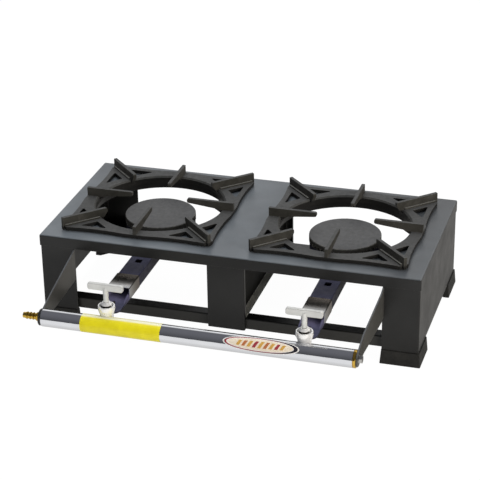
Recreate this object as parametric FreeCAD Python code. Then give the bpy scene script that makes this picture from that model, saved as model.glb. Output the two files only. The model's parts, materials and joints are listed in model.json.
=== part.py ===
import FreeCAD, Part
import math
import os

V = FreeCAD.Vector

# Portable two-burner gas stove. Millimetres, +Z up, -Y is the front with the gas pipe.
# While the pieces are made, x = 0 is the middle of the body, y = 0 the front of the top plate
# and z = 0 the table. On export everything moves along Y so that the middle of the whole
# stove, pipe included, lies on the origin.

# Body, folded sheet steel
body_w = 750.0            # width over the top plate
body_d = 362.0            # depth over the top plate
top_z = 183.0             # height of the top plate above the table
sheet = 1.5               # sheet thickness of the body
bend_r = 1.5              # inside radius of the folds
flange_h = 22.5           # depth of the plate's folded rim
leg_w = 72.0              # width of a leg seen from the front
collar_drop = 18.0        # depth of the turned-down collar in the plate's openings
post_w = 74.0             # width of a centre post
post_lip = 8.5            # depth of a centre post behind its face
rail_h = 22.0             # height of a lower rail
rail_d = 26.0             # depth of a lower rail
rail_lip = 10.0           # rear lip of a lower rail
rail_lift = 1.0           # rails and posts end this far above the feet
channel_w = 46.0          # width of the centre channel
channel_flange = 14.0     # side flanges of the centre channel
channel_gap = 2.0         # from a post's back to the end of the centre channel

# Feet
foot_h = 28.0             # height of a foot
foot_d = 72.0             # depth of a foot at its top
foot_proud = 0.5          # how far a foot's top stands out past the body
foot_flare = 2.2          # how much wider a foot is at the table on each side
foot_web = 9.0            # thickness of a foot at its two ends
foot_edge = 2.0           # rounding of a foot's corners
foot_plug = 40.0          # length of the plug inside the rail's end
foot_plug_h = 11.0        # height of that plug
foot_fit = 0.4            # clearance round that plug

# Burners
burner_pitch = 378.0      # distance between the two burners
burner_drop = 79.0        # from the plate's top down to the underside of the burner
tube_w = 42.0             # mixing tube, outside width
tube_h = 24.0             # mixing tube, outside height
tube_edge = 2.0           # rounding of the tube's two upper edges
cast_wall = 3.5           # wall of the casting
bowl_base_r = 28.0        # radius of the bowl's underside
bowl_r = 69.2             # radius of the bowl's rim
bowl_h = 52.0             # from the underside to the rim that carries the cap
bowl_land = 6.6           # width of the rim that carries the cap
bowl_spigot = 4.0         # height of the ring that centres the cap
bowl_lip_h = 14.0         # height of the straight wall under the rim
boss_r = 6.0              # screw bosses in the bowl's floor
boss_h = 11.0             # height of those bosses
boss_x = 14.0             # bosses, distance from the burner's middle plane
boss_y = 10.0             # bosses, distance behind the burner's axis
sight_w = 13.0            # sight hole in the top of the tube
sight_d = 14.0            # its length along the tube
sight_y = 45.0            # its middle, behind the front of the body
cap_r = 70.2              # cap radius
cap_t = 5.0               # thickness of the cap's disc
cap_skirt = 9.0           # depth of the cap's ring of ports
cap_fit = 0.6             # radial clearance between cap and centring ring
cap_edge = 1.2            # chamfer of the cap's upper edge
port_count = 48           # ports round the cap
port_w = 3.4              # width of a port
port_h = 6.3              # height of a port

# Burner support bars
bar_w = 32.0              # width of a bar
bar_t = 4.0               # thickness of a bar
bar_tab = 22.0            # height of the turned-down ends
bar_bend = 3.0            # inside radius at the turned-down ends

# Burner bolts
m6_r = 3.0                # shank radius
m6_head_r = 5.77          # hexagon head, corner radius
m6_head_h = 4.0           # head height
m6_reach = 8.0            # thread length in the casting
bolt_clear = 0.3          # radial clearance of a bolt in a plate

# Open mouth of the tube and the air shutter on it
mouth_gap = 29.0          # from the pipe's axis to the end of the mouth trough
mouth_tongue = 31.0       # length of the trough's floor in front of its walls
mouth_round = 14.0        # rounding of the floor's front corners
hood_back = 59.0          # from the end of the trough to the front of the shutter
hood_len = 55.0           # length of the shutter
hood_t = 1.2              # sheet thickness of the shutter
hood_bend = 1.5           # inside radius of its folds
hood_fit = 0.3            # running clearance of the shutter on the tube
hood_lift = 1.0           # the shutter's sides end this far above the tube's underside
hood_corner = 7.0         # rounding of the shutter's lower front corners
hood_over = 5.0           # closed tube that stays under the shutter
hood_travel = 15.0        # how far the shutter slides forward
m4_r = 2.0                # shutter screw, shank radius
m4_head_r = 4.0           # head radius
m4_head_t = 3.0           # head thickness
m4_edge = 0.6             # chamfer of the head
m4_gap = 0.3              # from the head to the shutter
m4_slot = 0.35            # clearance of the shank in the shutter's slot
m4_back = 20.0            # from the shutter's front edge to the screw
m4_up = 9.0               # height of the screw above the tube's underside

# Gas pipe and its arms
pipe_reach = 158.0        # from the front of the body to the pipe's axis
pipe_r = 17.0             # pipe radius
pipe_wall = 3.0           # pipe wall
pipe_end = 9.0            # thickness of the closed left end
pipe_drop = 89.0          # from the top plate down to the pipe's axis
pipe_set = 9.5            # from the right leg's inner edge in to the pipe's right end
inlet_set = 3.3           # from the left leg's inner edge out to the pipe's left end
arm_t = 3.0               # thickness of an arm
arm_drop = 2.5            # from the rim of the plate down to an arm's upper edge
arm_nose = 14.5           # radius of an arm's round end
arm_rise = 16.0           # how far an arm's lower edge rises from the pipe to the leg
arm_root = 15.0           # straight part of an arm in front of the leg
arm_flat = 40.0           # straight part of an arm behind the pipe's axis
arm_bend = 3.0            # inside radius of the arm's two slight bends
inlet_r = 6.5             # thread of the hose barb
inlet_in = 7.0            # thread length in the pipe's end
lock_r = 16.0             # lock nut radius
lock_t = 3.5              # lock nut thickness
lock_edge = 1.0           # chamfer of the lock nut
barb_hex_r = 9.5          # barb's hexagon, corner radius
barb_hex_t = 5.0          # its thickness
barb_r = 7.0              # barb ridges, largest radius
barb_root_r = 5.4         # barb between the ridges
barb_pitch = 6.3          # length of one ridge
barb_rise = 1.0           # steep rear flank of a ridge
barb_crest = 1.0          # flat top of a ridge
barb_count = 4            # number of ridges
barb_tip = 3.2            # plain end of the barb
barb_bore = 3.2           # bore of the barb
plug_head = 5.5           # end plug, thickness outside the pipe
plug_in = 12.0            # end plug, length inside the pipe
plug_fit = 0.1            # clearance of the plug in the pipe
plug_edge = 1.0           # chamfer of the plug
m8_r = 4.0                # plug bolt, shank radius
m8_head_r = 7.5           # hexagon head, corner radius
m8_head_h = 5.3           # head height
m8_in = 15.0              # thread length in the plug
washer_r = 8.0            # washer radius
washer_t = 1.6            # washer thickness

# Taps
tap_set = 3.8             # how far the taps sit to the right of the burners' axes
tap_back = 15.0           # how far they stand behind the pipe's axis, brazed to its back
tap_boss_r = 12.5         # lower body of the tap
tap_boss_h = 12.5         # its height
cup_r = 16.0              # cup of the tap
cup_wall = 2.5            # wall of the cup
cup_floor = 23.5          # cup floor above the tap's lower end
cup_rim = 32.0            # cup rim above the tap's lower end
cup_edge = 0.8            # chamfer of the cup's rim
neck_r = 8.0              # threaded neck in the cup
neck_h = 5.0              # its height above the cup's floor
inlet_hole_r = 2.5        # gas way from the pipe
inlet_up = 8.0            # its height above the tap's lower end
outlet_hole_r = 1.8       # gas way to the injector
spindle_r = 5.0           # plug and stem of the spindle
spindle_fit = 0.05        # running clearance of the spindle
spindle_foot = 13.0       # spindle's lower end above the tap's
spindle_under = 0.5       # room under the spindle
collar_r = 6.5            # collar that the gland nut holds down
collar_h = 3.7            # its height
collar_seat = 4.0         # depth of the collar's seat in the neck
collar_play = 0.1         # axial play under the collar
collar_room = 0.3         # radial room round the collar
stem_room = 0.3           # radial room of the stem in the gland nut
gland_r = 10.5            # gland nut radius
gland_h = 13.5            # gland nut height
gland_skirt = 2.0         # gland nut's lower end above the cup's floor
gland_top_r = 7.0         # gland nut radius at its top
gland_dome = 4.0          # height of its rounded shoulder
drive_r = 3.4             # upper end of the spindle in the handle
drive_h = 18.0            # its length
handle_gap = 0.4          # from the gland nut to the handle
handle_boss_r = 5.2       # stem of the handle
handle_boss_h = 23.0      # height of that stem
bar_len = 69.0            # T-bar length
bar_deep = 8.0            # T-bar thickness front to back
bar_high = 13.0           # T-bar height
bar_round = 4.0           # rounding of the T-bar's ends
bar_edge = 1.2            # rounding of the T-bar's edges
pin_r = 1.25              # cross pin radius
pin_up = 9.0              # cross pin above the handle's lower end
gas_way_r = 1.5           # cross way through the spindle

# Injector
outlet_r = 6.0            # boss on the tap for the injector
outlet_len = 16.5         # from the tap's axis to the boss's end
outlet_edge = 1.5         # rounding of that boss's end
outlet_up = 17.0          # axis of that boss above the tap's lower end
jet_low = 2.0             # how far the injectors sit below the tubes' middle
jet_thread_r = 3.4        # injector thread
jet_thread_in = 8.0       # thread length in the boss
jet_hex_r = 5.5           # injector hexagon, corner radius
jet_hex_t = 4.0           # its thickness
jet_len = 20.0            # length past the hexagon
jet_r = 4.0               # radius behind the tip
jet_tip_r = 2.2           # radius at the tip
jet_cone = 9.0            # length of the tapered tip
jet_bore = 1.5            # bore
jet_hole = 0.5            # metering hole
jet_hole_l = 3.0          # its length

# Grates, cast
grate_half = 153.0        # half the side of a grate
grate_bore = 128.0        # radius of the round opening
grate_bevel = 3.0         # bevel round the opening's upper edge
grate_skirt = 2.5         # wall of the ring that drops into the plate
grate_skirt_h = 7.0       # depth of that ring below the frame
grate_fit = 1.5           # radial clearance of that ring in the plate
grate_lift = 2.0          # height of the corner pads
grate_t = 7.0             # thickness of the frame
rib_top = 26.0            # height of the ribs above the plate
corner_cut = 13.0         # cut corner of the frame
lobe_half = 22.0          # half width of the lobe at the middle of a side
scallop = 4.0             # depth of the hollows between lobes and corners
rib_t = 6.5               # thickness of a rib
ledge_t = 13.0            # thickness of a corner rib's foot
ledge_h = 3.0             # height of that foot above the frame
ledge_end = 5.0           # the foot ends this far inside the opening and the rib's outer end
rib_in_r = 116.0          # inner end of a corner rib
rib_nose = 8.0            # upright part of that end before it slants back
rib_round = 3.0           # rounding of that end's upper edge
rib_out = 4.0             # corner rib's end, inside the frame's corner
tip_r = 57.0              # inner end of the middle ribs
tip_h = 9.0               # height of a middle rib at its tip
tip_round = 3.6           # rounding of that tip
haunch_in = 14.0          # where a middle rib starts to thicken, inside the opening's edge
haunch_h = 15.0           # height of a middle rib there
window_edge = 14.0        # solid rim outside the three-cornered holes
window_off = 16.0         # from a corner rib's middle to those holes
window_in = 145.0         # radius of their inner corner
window_side = 152.0       # radius of their far corner
window_round = 2.0        # rounding in those holes
pad_r = 6.0               # corner pads
pad_at = 18.0             # from a corner rib's outer end to the pad's middle
plate_round = 3.0         # rounding of the top plate's edges

# Places worked out from the sizes above
half_w = body_w / 2.0
mid_y = body_d / 2.0
under_z = top_z - sheet                   # underside of the top plate
panel_z = under_z - plate_round + sheet   # top of panels and posts, below the plate's fold
leg_x = half_w - leg_w                    # inner edge of a leg
wall_x = half_w - 2.0 * sheet             # inner face of a side panel
frame_z = foot_h + rail_lift              # lower edge of rails and posts
rail_z = frame_z + rail_h                 # top of the lower rails
post_back = sheet + post_lip              # back of a front post
burner_x = burner_pitch / 2.0
seat_z = top_z - burner_drop              # underside of the burners
tube_top = seat_z + tube_h
rim_z = seat_z + bowl_h                   # rim that carries the cap
jet_z = seat_z + tube_h / 2.0 - jet_low   # axis of the injectors
tap_base = jet_z - outlet_up              # lower end of the taps
pipe_y = -pipe_reach
pipe_z = top_z - pipe_drop
mouth_y = pipe_y + mouth_gap              # end of the mouth trough
hood_y = mouth_y + hood_back              # front of the shutter
hood_rear = hood_y + hood_len
closed_y = hood_rear - hood_over          # where the closed tube ends
pipe_x0 = -leg_x - inlet_set              # left end of the pipe, at the left arm
pipe_x1 = leg_x - pipe_set                # right arm's face, at the end plug
tap_x = burner_x + tap_set                # right tap
tap_y = pipe_y + tap_back
hole_r = grate_bore + grate_skirt + grate_fit
front_y = pipe_y - pipe_r
rear_y = body_d + foot_proud + foot_flare
shift_y = -(front_y + rear_y) / 2.0


def box(x0, x1, y0, y1, z0, z1):
    """Block between two corners."""
    return Part.makeBox(x1 - x0, y1 - y0, z1 - z0, V(x0, y0, z0))


def spot(plane, u, v, w):
    """Point in a named plane, w being the distance from that plane."""
    if plane == "xy":
        return V(u, v, w)
    if plane == "xz":
        return V(u, w, v)
    return V(w, u, v)


def rounded_path(pts, radii, place):
    """Edges of an open path whose inner corners are rounded."""
    n = len(pts)
    edges = []
    last = pts[0]
    for i in range(1, n - 1):
        ax, ay = pts[i - 1]
        bx, by = pts[i]
        cx, cy = pts[i + 1]
        la = math.hypot(bx - ax, by - ay)
        lb = math.hypot(cx - bx, cy - by)
        ua = ((bx - ax) / la, (by - ay) / la)
        ub = ((cx - bx) / lb, (cy - by) / lb)
        turn = math.atan2(ua[0] * ub[1] - ua[1] * ub[0], ua[0] * ub[0] + ua[1] * ub[1])
        reach = radii[i] * math.tan(abs(turn) / 2.0)
        p = (bx - ua[0] * reach, by - ua[1] * reach)
        q = (bx + ub[0] * reach, by + ub[1] * reach)
        away = radii[i] / math.cos(turn / 2.0) - radii[i]
        mx, my = ub[0] - ua[0], ub[1] - ua[1]
        ml = math.hypot(mx, my)
        m = (bx + mx / ml * away, by + my / ml * away)
        edges.append(Part.LineSegment(place(*last), place(*p)).toShape())
        edges.append(Part.Arc(place(*p), place(*m), place(*q)).toShape())
        last = q
    edges.append(Part.LineSegment(place(*last), place(*pts[-1])).toShape())
    return edges, place(*pts[0]), place(*pts[-1])


def fold(plane, pts, t, r, w0, w1):
    """Folded strip: the path is one face, the metal lies to its left, r is the inside radius."""
    n = len(pts)
    dirs = []
    for i in range(n - 1):
        dx = pts[i + 1][0] - pts[i][0]
        dy = pts[i + 1][1] - pts[i][1]
        length = math.hypot(dx, dy)
        dirs.append((dx / length, dy / length))
    other = []
    near = [0.0] * n
    far = [0.0] * n
    for i in range(n):
        a = dirs[max(i - 1, 0)]
        b = dirs[min(i, n - 2)]
        na = (-a[1], a[0])
        nb = (-b[1], b[0])
        k = t / (1.0 + na[0] * nb[0] + na[1] * nb[1])
        other.append((pts[i][0] + (na[0] + nb[0]) * k, pts[i][1] + (na[1] + nb[1]) * k))
        if 0 < i < n - 1:
            left = a[0] * b[1] - a[1] * b[0] > 0
            near[i] = r + t if left else r
            far[i] = r if left else r + t

    def place(u, v):
        return spot(plane, u, v, w0)

    e1, a0, a1 = rounded_path(pts, near, place)
    e2, b0, b1 = rounded_path(other, far, place)
    caps = [Part.LineSegment(a1, b1).toShape(), Part.LineSegment(b0, a0).toShape()]
    wire = Part.Wire(Part.__sortEdges__(e1 + e2 + caps))
    return Part.Face(wire).extrude(spot(plane, 0, 0, w1 - w0))


def slab(plane, pts, w0, w1):
    """Flat plate with straight sides."""
    ring = [spot(plane, u, v, w0) for u, v in pts]
    wire = Part.makePolygon(ring + [ring[0]])
    return Part.Face(wire).extrude(spot(plane, 0, 0, w1 - w0))


def turned(pts):
    """Turned piece about Z from (radius, height) points."""
    ring = [V(r, 0, z) for r, z in pts]
    wire = Part.makePolygon(ring + [ring[0]])
    return Part.Face(wire).revolve(V(0, 0, 0), V(0, 0, 1), 360)


def along_x(shape):
    """Turn a piece made along Z so that it runs along +X."""
    return shape.rotated(V(0, 0, 0), V(0, 1, 0), 90)


def along_y(shape):
    """Turn a piece made along Z so that it runs along +Y."""
    return shape.rotated(V(0, 0, 0), V(1, 0, 0), -90)


def rod(r, length):
    """Round rod from the origin along Z."""
    return Part.makeCylinder(r, length)


def hexagon(corner_r, height):
    """Hexagonal prism from the origin along Z."""
    ring = []
    for i in range(7):
        a = math.radians(60.0 * i)
        ring.append(V(corner_r * math.cos(a), corner_r * math.sin(a), 0))
    return Part.Face(Part.makePolygon(ring)).extrude(V(0, 0, height))


def soften(shape, r, wanted):
    """Round the edges that wanted() picks."""
    return shape.makeFillet(r, [e for e in shape.Edges if wanted(e)])


def upright(e):
    """True for an edge parallel to Z."""
    a, b = e.Vertexes[0].Point, e.Vertexes[-1].Point
    return abs(a.x - b.x) < 1e-6 and abs(a.y - b.y) < 1e-6


def mirror_x(shape):
    """Copy on the other side of the middle plane."""
    return shape.mirror(V(0, 0, 0), V(1, 0, 0))


def mirror_y(shape):
    """Copy at the other side of the body, front to rear."""
    return shape.mirror(V(0, mid_y, 0), V(0, 1, 0))


def top_plate():
    """Folded tray with a rim all round and two round openings with collars."""
    low = top_z - flange_h
    outer = box(-half_w, half_w, 0, body_d, low, top_z)
    outer = soften(outer, plate_round, lambda e: upright(e) or e.BoundBox.ZMin > top_z - 1e-6)
    inner = box(-half_w + sheet, half_w - sheet, sheet, body_d - sheet, low - sheet, under_z)
    inner = soften(inner, plate_round - sheet, lambda e: upright(e) or e.BoundBox.ZMin > under_z - 1e-6)
    plate = outer.cut(inner)
    for side in (-1, 1):
        place = V(side * burner_x, mid_y, top_z - collar_drop)
        plate = plate.fuse(rod(hole_r + sheet, collar_drop - sheet / 2.0).translated(place))
    for side in (-1, 1):
        hole = rod(hole_r, 2.0 * collar_drop)
        plate = plate.cut(hole.translated(V(side * burner_x, mid_y, top_z - 1.5 * collar_drop)))
    return plate.removeSplitter()


def side_panel():
    """Right side panel, folded into a front and a rear leg."""
    x0, x1 = leg_x, half_w - sheet
    y0, y1 = sheet, body_d - sheet
    pts = [(x0, y0), (x1, y0), (x1, y1), (x0, y1)]
    return fold("xy", pts, sheet, bend_r, foot_h, panel_z)


def centre_post():
    """Front centre post."""
    h = post_w / 2.0
    pts = [(-h, post_back), (-h, sheet), (h, sheet), (h, post_back)]
    return fold("xy", pts, sheet, bend_r, frame_z, panel_z)


def lower_rail():
    """Front lower rail, behind the legs, from one side panel to the other."""
    y0, y1 = post_back, post_back + rail_d
    pts = [(y1, rail_z - rail_lip), (y1, rail_z), (y0, rail_z), (y0, frame_z)]
    return fold("yz", pts, sheet, bend_r, -wall_x, wall_x)


def centre_channel():
    """Hat section from front to rear, standing on both lower rails."""
    h = channel_w / 2.0
    zt = rail_z + sheet
    pts = [(h + channel_flange, zt), (h, zt), (h, under_z)]
    pts += [(-h, under_z), (-h, zt), (-h - channel_flange, zt)]
    y0 = post_back + channel_gap
    return fold("xz", pts, sheet, bend_r, y0, body_d - y0)


def burner_bar():
    """Right support bar from the centre channel to the side panel, drilled for the burner."""
    x0, x1 = channel_w / 2.0, wall_x
    pts = [(x1, seat_z - bar_tab), (x1, seat_z), (x0, seat_z), (x0, seat_z - bar_tab)]
    y0 = mid_y + boss_y - bar_w / 2.0
    bar = fold("xz", pts, bar_t, bar_bend, y0, y0 + bar_w)
    for side in (-1, 1):
        hole = rod(m6_r + bolt_clear, 3.0 * bar_t)
        place = V(burner_x + side * boss_x, mid_y + boss_y, seat_z - 2.0 * bar_t)
        bar = bar.cut(hole.translated(place))
    return bar


def foot():
    """Front right foot: tapered corner shoe with a plug that enters the rail's end."""
    x0, x1 = leg_x - foot_proud, half_w + foot_proud
    y0, y1 = -foot_proud, foot_d - foot_proud
    f = foot_flare
    rings = []
    for out, z in ((f, 0.0), (0.0, foot_h)):
        pts = [V(x0 - out, y0 - out, z), V(x1 + out, y0 - out, z), V(x1 + out, y1 + out, z)]
        pts += [V(x1 - foot_web, y1 + out, z), V(x0 - out, y0 + foot_web, z)]
        rings.append(Part.makePolygon(pts + [pts[0]]))
    shoe = Part.makeLoft(rings, True, True)
    shoe = soften(shoe, foot_edge, lambda e: e.BoundBox.ZLength > foot_h - 1e-6)
    px = wall_x - foot_fit
    py = post_back + sheet + foot_fit
    pd = post_back + rail_d - sheet - foot_fit
    plug = box(px - foot_plug, px, py, pd, foot_h - 1.0, foot_h + foot_plug_h)
    plug = soften(plug, foot_edge, upright)
    return shoe.fuse(plug).removeSplitter()


def pipe_arm(side, hole):
    """Arm of one side: strip with two slight bends that tapers to a round end at the pipe."""
    top = top_z - flange_h - arm_drop
    n = arm_nose
    dy, dz = pipe_y, pipe_z - top
    dist = math.hypot(dy, dz)
    reach = math.sqrt(dist * dist - n * n)
    turn = math.atan2(dz, dy) - math.asin(n / dist)
    touch = (reach * math.cos(turn), top + reach * math.sin(turn))

    def place(u, v):
        return spot("yz", u, v, -half_w)

    low = pipe_z - n
    root = low + arm_rise
    edges = [
        Part.LineSegment(place(sheet, root), place(sheet, top)).toShape(),
        Part.LineSegment(place(sheet, top), place(0.0, top)).toShape(),
        Part.LineSegment(place(0.0, top), place(*touch)).toShape(),
        Part.Arc(place(*touch), place(pipe_y - n, pipe_z), place(pipe_y, low)).toShape(),
        Part.LineSegment(place(pipe_y, low), place(sheet, root)).toShape(),
    ]
    outline = Part.Face(Part.Wire(edges)).extrude(V(body_w, 0, 0))
    x0 = side * leg_x
    x1 = pipe_x1 if side > 0 else pipe_x0
    pts = [(x0, sheet), (x0, -arm_root), (x1, pipe_y + arm_flat), (x1, pipe_y - pipe_r)]
    if side < 0:
        pts.reverse()
    strip = fold("xy", pts, arm_t, arm_bend, low - arm_t, top + arm_t)
    drill = along_x(rod(hole, 5.0 * arm_t)).translated(V(x1 - 2.5 * arm_t, pipe_y, pipe_z))
    return strip.common(outline).cut(drill)


def on_pipe(shape, x):
    """Put a piece made along Z onto the pipe's axis, running along +X from x."""
    return along_x(shape).translated(V(x, pipe_y, pipe_z))


def gas_pipe():
    """Pipe with a drilled left end, an open right end and a gas way to each tap in its back."""
    x0, x1 = pipe_x0, pipe_x1 - plug_head
    pipe = on_pipe(rod(pipe_r, x1 - x0), x0)
    pipe = pipe.cut(on_pipe(rod(pipe_r - pipe_wall, x1 - x0), x0 + pipe_end))
    pipe = pipe.cut(on_pipe(rod(inlet_r, 2.0 * pipe_end), x0 - pipe_end / 2.0))
    for side in (-1, 1):
        way = along_y(rod(inlet_hole_r, pipe_r))
        pipe = pipe.cut(way.translated(V(side * burner_x + tap_set, pipe_y, tap_base + inlet_up)))
    return pipe


def inlet_lock_nut():
    """Round nut that clamps the barb to the left arm."""
    e = lock_edge
    pts = [(inlet_r, 0), (lock_r - e, 0), (lock_r, e), (lock_r, lock_t - e), (lock_r - e, lock_t)]
    return on_pipe(turned(pts + [(inlet_r, lock_t)]), pipe_x0 - arm_t - lock_t)


def hose_barb():
    """Brass barb for the hose, screwed through nut and arm into the pipe's end."""
    neck = barb_hex_t + lock_t + arm_t + inlet_in
    pts = [(barb_bore, -neck), (inlet_r, -neck), (inlet_r, -barb_hex_t), (barb_root_r, -barb_hex_t)]
    z = 0.0
    for i in range(barb_count):
        pts += [(barb_root_r, z), (barb_r, z + barb_rise), (barb_r, z + barb_rise + barb_crest)]
        pts += [(barb_root_r, z + barb_pitch)]
        z += barb_pitch
    pts += [(barb_root_r, z + barb_tip), (barb_bore, z + barb_tip)]
    body = turned(pts)
    collar = hexagon(barb_hex_r, barb_hex_t).cut(rod(barb_bore, barb_hex_t))
    body = body.fuse(collar.translated(V(0, 0, -barb_hex_t))).removeSplitter()
    body = body.rotated(V(0, 0, 0), V(0, 1, 0), -90)
    return body.translated(V(pipe_x0 - arm_t - lock_t - barb_hex_t, pipe_y, pipe_z))


def pipe_plug():
    """Brass plug in the pipe's right end, drilled for its bolt."""
    r = pipe_r - pipe_wall - plug_fit
    e = plug_edge
    end = plug_in + plug_head
    pts = [(0, 0), (r, 0), (r, plug_in), (pipe_r - e, plug_in), (pipe_r, plug_in + e)]
    pts += [(pipe_r, end - e), (pipe_r - e, end), (0, end)]
    plug = turned(pts).cut(rod(m8_r, m8_in).translated(V(0, 0, end - m8_in)))
    return on_pipe(plug, pipe_x1 - end)


def plug_washer():
    """Washer outside the right arm."""
    return on_pipe(rod(washer_r, washer_t).cut(rod(m8_r, washer_t)), pipe_x1 + arm_t)


def plug_bolt():
    """Hexagon bolt through washer and arm into the plug."""
    x0 = pipe_x1 - m8_in
    x1 = pipe_x1 + arm_t + washer_t
    shank = on_pipe(rod(m8_r, x1 - x0), x0)
    head = on_pipe(hexagon(m8_head_r, m8_head_h), x1)
    return shank.fuse(head).removeSplitter()


def burner_body():
    """Right burner casting: bowl, mixing tube and the open trough at its mouth."""
    w = cast_wall
    inner_r = bowl_r - bowl_land
    outer = [(0, 0), (bowl_base_r, 0), (bowl_r, bowl_h - bowl_lip_h), (bowl_r, bowl_h)]
    outer += [(inner_r, bowl_h), (inner_r, bowl_h + bowl_spigot), (0, bowl_h + bowl_spigot)]
    room = [(0, w), (bowl_base_r - w, w), (inner_r - w, bowl_h - bowl_lip_h)]
    room += [(inner_r - w, bowl_h + 2.0 * bowl_spigot), (0, bowl_h + 2.0 * bowl_spigot)]
    bowl = turned(outer).translated(V(burner_x, mid_y, seat_z))
    h = tube_w / 2.0
    slope_y = closed_y - hood_over
    side = [(mid_y, seat_z), (mid_y, tube_top), (slope_y, tube_top)]
    side += [(mouth_y + mouth_tongue, seat_z + w), (mouth_y, seat_z + w), (mouth_y, seat_z)]
    tube = slab("yz", side, burner_x - h, burner_x + h)
    tube = soften(tube, mouth_round, lambda e: upright(e) and e.BoundBox.YMax < mouth_y + 1e-6)
    tube = soften(tube, tube_edge, lambda e: e.BoundBox.ZMin > tube_top - 1e-6 and e.BoundBox.XLength < 1e-6)
    body = bowl.fuse(tube)
    body = body.cut(turned(room).translated(V(burner_x, mid_y, seat_z)))
    x0, x1 = burner_x - h + w, burner_x + h - w
    body = body.cut(box(x0, x1, mouth_y - w, mid_y, seat_z + w, tube_top - w))
    body = body.cut(box(x0, x1, mouth_y - w, closed_y, seat_z + w, tube_top + w))
    a = sight_w / 2.0
    b = sight_d / 2.0
    z0, z1 = tube_top - 2.0 * w, tube_top + w
    body = body.cut(box(burner_x - a, burner_x + a, sight_y - b, sight_y + b, z0, z1))
    for s in (-1, 1):
        place = V(burner_x + s * boss_x, mid_y + boss_y, seat_z)
        body = body.fuse(rod(boss_r, boss_h).translated(place))
    for s in (-1, 1):
        place = V(burner_x + s * boss_x, mid_y + boss_y, seat_z)
        body = body.cut(rod(m6_r, m6_reach).translated(place))
    place = V(burner_x - h - w / 2.0, hood_y + m4_back, seat_z + m4_up)
    screw = along_x(rod(m4_r, 2.0 * w)).translated(place)
    return body.cut(screw).removeSplitter()


def burner_cap():
    """Right burner cap: disc with a ring of ports round its lower edge."""
    inner_r = bowl_r - bowl_land + cap_fit
    high = cap_skirt + cap_t
    pts = [(0, cap_skirt), (inner_r, cap_skirt), (inner_r, 0), (cap_r, 0)]
    pts += [(cap_r, high - cap_edge), (cap_r - cap_edge, high), (0, high)]
    cap = turned(pts)
    ports = []
    for i in range(port_count):
        p = box(inner_r - 1.0, cap_r + 1.0, -port_w / 2.0, port_w / 2.0, -1.0, port_h)
        ports.append(p.rotated(V(0, 0, 0), V(0, 0, 1), 360.0 * (i + 0.5) / port_count))
    return cap.cut(Part.makeCompound(ports)).translated(V(burner_x, mid_y, rim_z))


def air_shutter(screw_side):
    """Right air shutter: folded hood on the tube's mouth, slotted for its screw."""
    half = tube_w / 2.0 + hood_fit + hood_t
    zt = tube_top + hood_fit + hood_t
    zb = seat_z + hood_lift
    pts = [(burner_x + half, zb), (burner_x + half, zt), (burner_x - half, zt), (burner_x - half, zb)]
    hood = fold("xz", pts, hood_t, hood_bend, hood_y, hood_rear)

    def front_corner(e):
        b = e.BoundBox
        low = abs(b.ZMin - zb) < 1e-6 and b.ZLength < 1e-6
        return low and b.YLength < 1e-6 and abs(b.YMin - hood_y) < 1e-6

    hood = soften(hood, hood_corner, front_corner)
    r = m4_r + m4_slot
    y0 = hood_y + m4_back
    z0 = seat_z + m4_up
    wide = 3.0 * hood_t
    x0 = burner_x + screw_side * (half - hood_t / 2.0) - wide / 2.0
    slot = box(x0, x0 + wide, y0, y0 + hood_travel, z0 - r, z0 + r)
    for y in (y0, y0 + hood_travel):
        slot = slot.fuse(along_x(rod(r, wide)).translated(V(x0, y, z0)))
    return hood.cut(slot)


def shutter_screw():
    """Screw of the right shutter, on the tube's left side."""
    half = tube_w / 2.0 + hood_fit + hood_t + m4_gap
    length = m4_head_t + half - tube_w / 2.0 + cast_wall
    e = m4_edge
    pts = [(0, 0), (m4_head_r - e, 0), (m4_head_r, e), (m4_head_r, m4_head_t), (m4_r, m4_head_t)]
    pts += [(m4_r, length), (0, length)]
    place = V(burner_x - half - m4_head_t, hood_y + m4_back, seat_z + m4_up)
    return along_x(turned(pts)).translated(place)


def burner_bolts():
    """Two bolts of each burner, from under the support bars."""
    bolts = []
    for side in (-1, 1):
        for s in (-1, 1):
            low = seat_z - bar_t
            head = hexagon(m6_head_r, m6_head_h).translated(V(0, 0, -m6_head_h))
            bolt = head.fuse(rod(m6_r, bar_t + m6_reach)).removeSplitter()
            bolts.append(bolt.translated(V(side * burner_x + s * boss_x, mid_y + boss_y, low)))
    return Part.makeCompound(bolts)


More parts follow.
